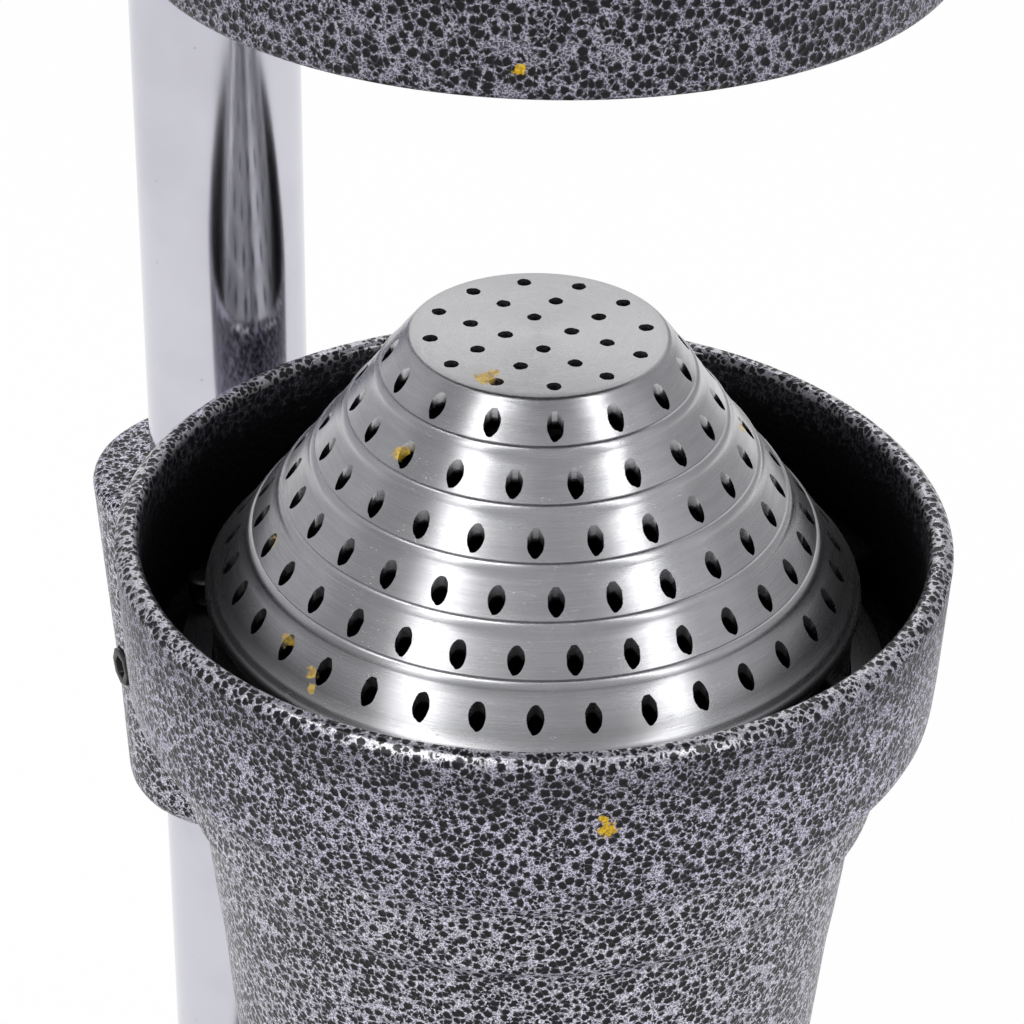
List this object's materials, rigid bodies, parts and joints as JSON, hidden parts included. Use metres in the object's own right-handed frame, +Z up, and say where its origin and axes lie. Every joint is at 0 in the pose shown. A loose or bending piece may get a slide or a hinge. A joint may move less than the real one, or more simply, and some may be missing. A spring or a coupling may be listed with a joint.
{
  "type": "lever citrus juice press",
  "caption": "Bar-top citrus press: perforated strainer in a cup on a round column, and a bell that a long lever drives down through a rack and toothed sector.",
  "frame": {"origin": "middle of the footprint, on the table under the feet", "axes": "+Z up, +Y to the rear where the column stands, +X to the press's own right seen from the front with the lever on that side"},
  "size_m": [0.19, 0.24, 0.7784],
  "materials": {
    "hammertone": "silver and charcoal hammertone enamel, stove dried",
    "chrome": "bright plated",
    "cast_aluminium": "turned and finely brushed",
    "steel": "machined",
    "black_steel": "black oxide",
    "bronze": "turned bearing bronze",
    "rubber": "matt",
    "grip_plastic": "fine matt grain"
  },
  "bodies": {
    "stand": {"base": "hammertone", "foot_front_left": "rubber", "foot_front_right": "rubber", "foot_rear_left": "rubber", "foot_rear_right": "rubber", "foot_screw_front_left": "steel", "foot_screw_front_right": "steel", "foot_screw_rear_left": "steel", "foot_screw_rear_right": "steel", "column": "chrome", "column_plug": "steel", "column_washer": "steel", "column_bolt": "steel", "base_set_screw": "black_steel", "head": "hammertone", "head_set_screw_lower": "black_steel", "head_set_screw_upper": "black_steel", "guide_bush_lower": "bronze", "guide_bush_upper": "bronze", "stop_pin_upper": "steel", "stop_pin_lower": "steel", "shaft_bush_right": "bronze", "shaft_bush_left": "bronze"},
    "cup_carrier": {"cup": "hammertone", "cup_set_screw": "black_steel"},
    "strainer_insert": {"strainer": "cast_aluminium"},
    "press_ram": {"ram": "steel", "bell": "hammertone", "bell_washer": "steel", "bell_nut": "steel", "ram_stop_washer": "steel", "ram_stop_screw": "black_steel"},
    "lever_arm": {"sector": "steel", "sector_pin": "steel", "pivot_shaft": "steel", "shaft_collar": "steel", "shaft_collar_screw": "black_steel", "lever_hub": "hammertone", "hub_set_screw": "black_steel", "lever_set_screw": "black_steel", "hub_washer": "steel", "hub_nut": "chrome", "lever_bar": "chrome", "lever_grip": "grip_plastic", "grip_cap": "chrome"}
  },
  "joints": [
    {"name": "lever_turn", "type": "hinge", "parent": "stand", "child": "lever_arm", "pos_m": [0, 0.0475, 0.52034], "axis": [1, 0, 0], "range_deg": [0, 118.41]},
    {"name": "ram_slide", "type": "slide", "parent": "stand", "child": "press_ram", "axis": [0, 0, -1], "range_m": [0, 0.1178]},
    {"name": "cup_height", "type": "slide", "parent": "stand", "child": "cup_carrier", "axis": [0, 0, 1], "range_m": [-0.03, 0]},
    {"name": "strainer_turn", "type": "hinge", "parent": "cup_carrier", "child": "strainer_insert", "pos_m": [0, -0.015, 0.24], "axis": [0, 0, 1], "range_deg": [-90, 0]}
  ],
  "couplings": [
    {"joint": "ram_slide", "follows": "lever_turn", "m_per_rad": 0.057}
  ]
}
